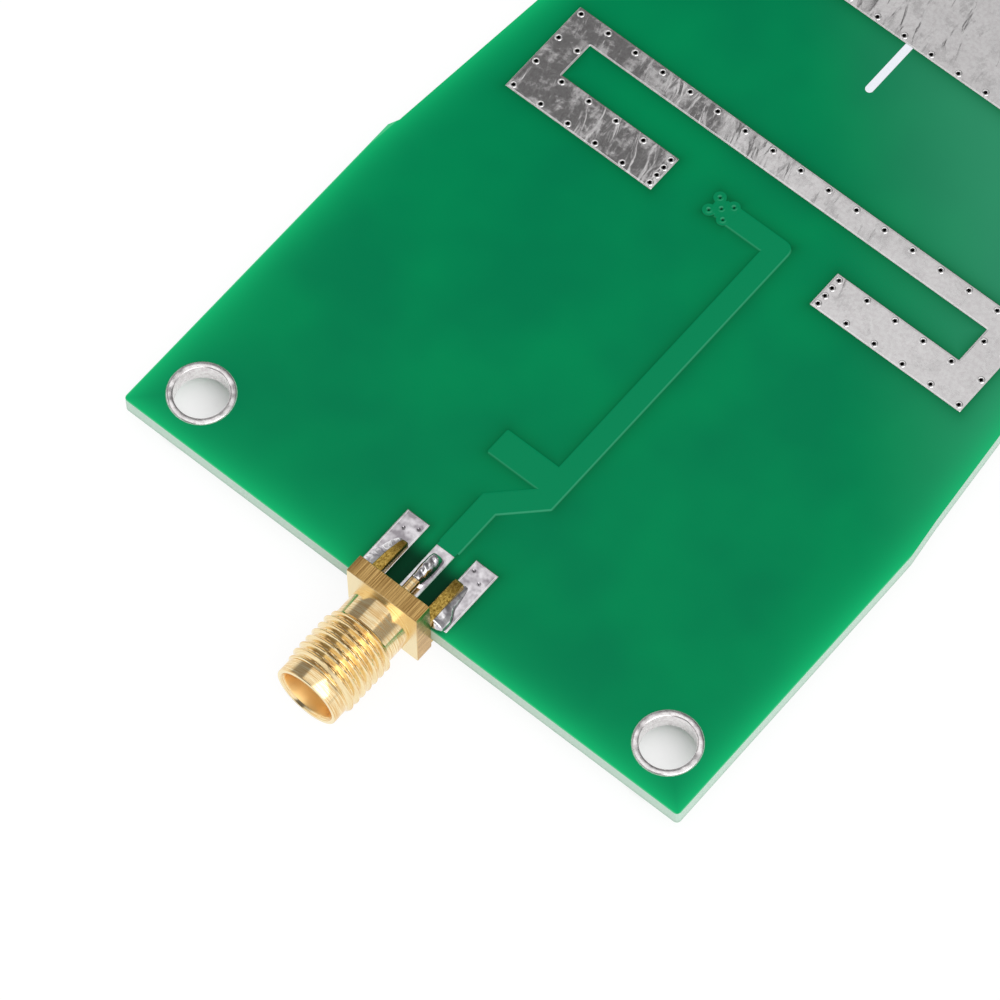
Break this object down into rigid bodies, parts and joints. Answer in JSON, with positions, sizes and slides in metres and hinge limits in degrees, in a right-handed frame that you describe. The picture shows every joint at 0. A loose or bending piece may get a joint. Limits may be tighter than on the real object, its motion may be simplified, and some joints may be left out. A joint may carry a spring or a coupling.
{
  "type": "ultra-wideband pcb antenna",
  "caption": "Tapered green circuit board antenna with a tinned folded dipole, a director plate and a gold edge-mounted coaxial jack.",
  "frame": {"origin": "midway between the two mounting holes, on the lower face of the board", "axes": "+X across the board, +Y away from the coaxial jack towards the director, +Z out of the front face"},
  "size_m": [0.055, 0.0905, 0.0069],
  "materials": {
    "laminate": "cut glass-epoxy",
    "front_mask": "glossy green solder mask",
    "back_mask": "glossy green solder mask",
    "masked_copper": "copper under the mask, with a bare tinned end",
    "front_tin": "tinned copper, levelled with hot air",
    "back_tin": "tinned copper, levelled with hot air",
    "lining_tin": "tinned copper, levelled with hot air",
    "ink": "white printing ink",
    "jack_gold": "gold plate over brass",
    "insulator": "smooth white insulator",
    "contact_gold": "gold plate over brass",
    "solder": "bright solder"
  },
  "bodies": {
    "root": {"laminate": "laminate", "front_mask": "front_mask", "back_mask": "back_mask", "feed_line": "masked_copper", "front_dipole": "front_tin", "front_director": "front_tin", "ground_pad_left": "front_tin", "ground_pad_right": "front_tin", "back_copper": "back_tin", "back_director": "back_tin", "hole_lining_left": "lining_tin", "hole_lining_right": "lining_tin", "centre_mark": "ink", "connector_shell": "jack_gold", "connector_insulator": "insulator", "centre_contact": "contact_gold", "solder_left": "solder", "solder_right": "solder", "solder_pin": "solder", "solder_back_left": "solder", "solder_back_right": "solder"}
  },
  "joints": []
}
